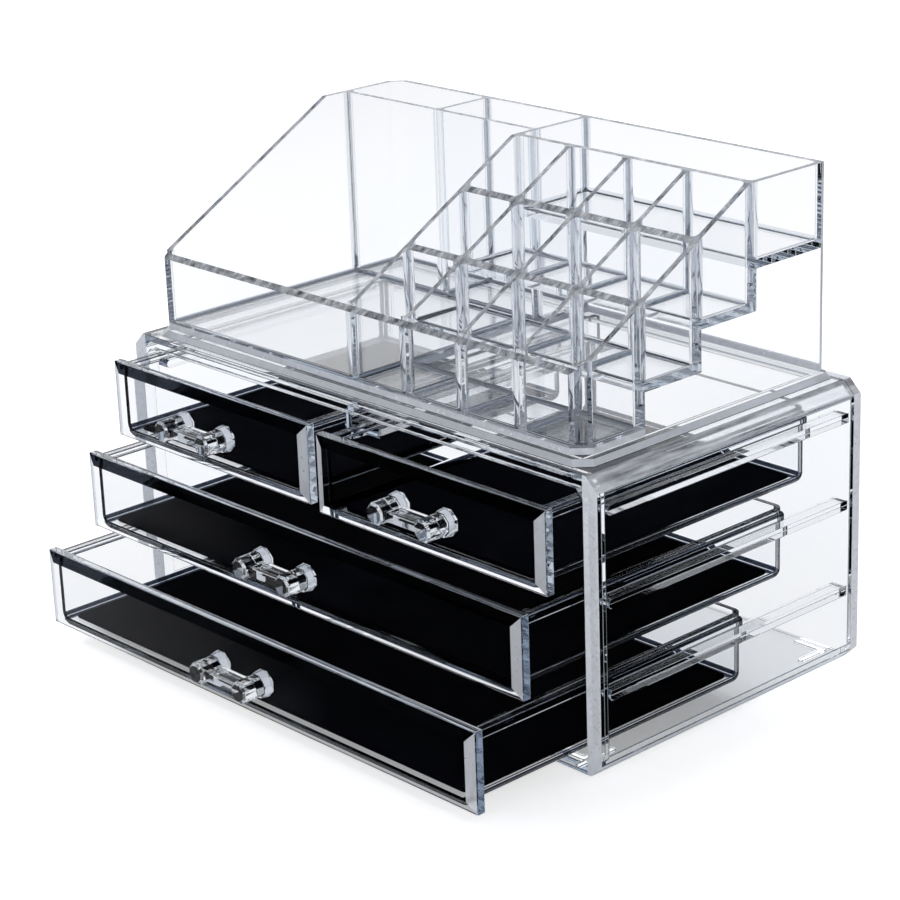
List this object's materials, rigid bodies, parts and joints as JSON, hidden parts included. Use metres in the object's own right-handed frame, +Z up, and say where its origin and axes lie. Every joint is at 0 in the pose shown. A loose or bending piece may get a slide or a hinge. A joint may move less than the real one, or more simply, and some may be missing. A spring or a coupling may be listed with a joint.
{
  "type": "acrylic makeup organizer drawers",
  "caption": "Clear acrylic cabinet with small sliding drawers, crystal pulls and black liners, under a lift-off tray of sloping compartments for make-up.",
  "frame": {"origin": "under the middle of the whole object's bounding box, on the surface that it stands on", "axes": "+X to the right as seen from the front, +Y from the drawer fronts towards the back, +Z up"},
  "size_m": [0.24, 0.1944, 0.1819],
  "materials": {
    "clear_acrylic": "clear, polished",
    "crystal_handle": "clear, faceted and polished",
    "black_liner": "matt felt"
  },
  "bodies": {
    "cabinet": {"cabinet_shell": "clear_acrylic", "cabinet_back": "clear_acrylic", "centre_hanger": "clear_acrylic"},
    "drawer_top_left": {"drawer_tray_top_left": "clear_acrylic", "front_panel_top_left": "clear_acrylic", "handle_top_left": "crystal_handle", "liner_top_left": "black_liner"},
    "drawer_top_right": {"drawer_tray_top_right": "clear_acrylic", "front_panel_top_right": "clear_acrylic", "handle_top_right": "crystal_handle", "liner_top_right": "black_liner"},
    "drawer_middle": {"drawer_tray_middle": "clear_acrylic", "front_panel_middle": "clear_acrylic", "handle_middle": "crystal_handle", "liner_middle": "black_liner"},
    "drawer_bottom": {"drawer_tray_bottom": "clear_acrylic", "front_panel_bottom": "clear_acrylic", "handle_bottom": "crystal_handle", "liner_bottom": "black_liner"},
    "organizer": {"organizer_tray": "clear_acrylic"}
  },
  "joints": [
    {"name": "top_left_slide", "type": "slide", "parent": "cabinet", "child": "drawer_top_left", "axis": [0, -1, 0], "range_m": [-0.0106, 0.0844]},
    {"name": "top_right_slide", "type": "slide", "parent": "cabinet", "child": "drawer_top_right", "axis": [0, -1, 0], "range_m": [-0.0136, 0.0814]},
    {"name": "middle_slide", "type": "slide", "parent": "cabinet", "child": "drawer_middle", "axis": [0, -1, 0], "range_m": [-0.0252, 0.0698]},
    {"name": "bottom_slide", "type": "slide", "parent": "cabinet", "child": "drawer_bottom", "axis": [0, -1, 0], "range_m": [-0.0466, 0.0484]},
    {"name": "organizer_lift", "type": "slide", "parent": "cabinet", "child": "organizer", "axis": [0, 0, 1], "range_m": [0, 0.08]}
  ]
}
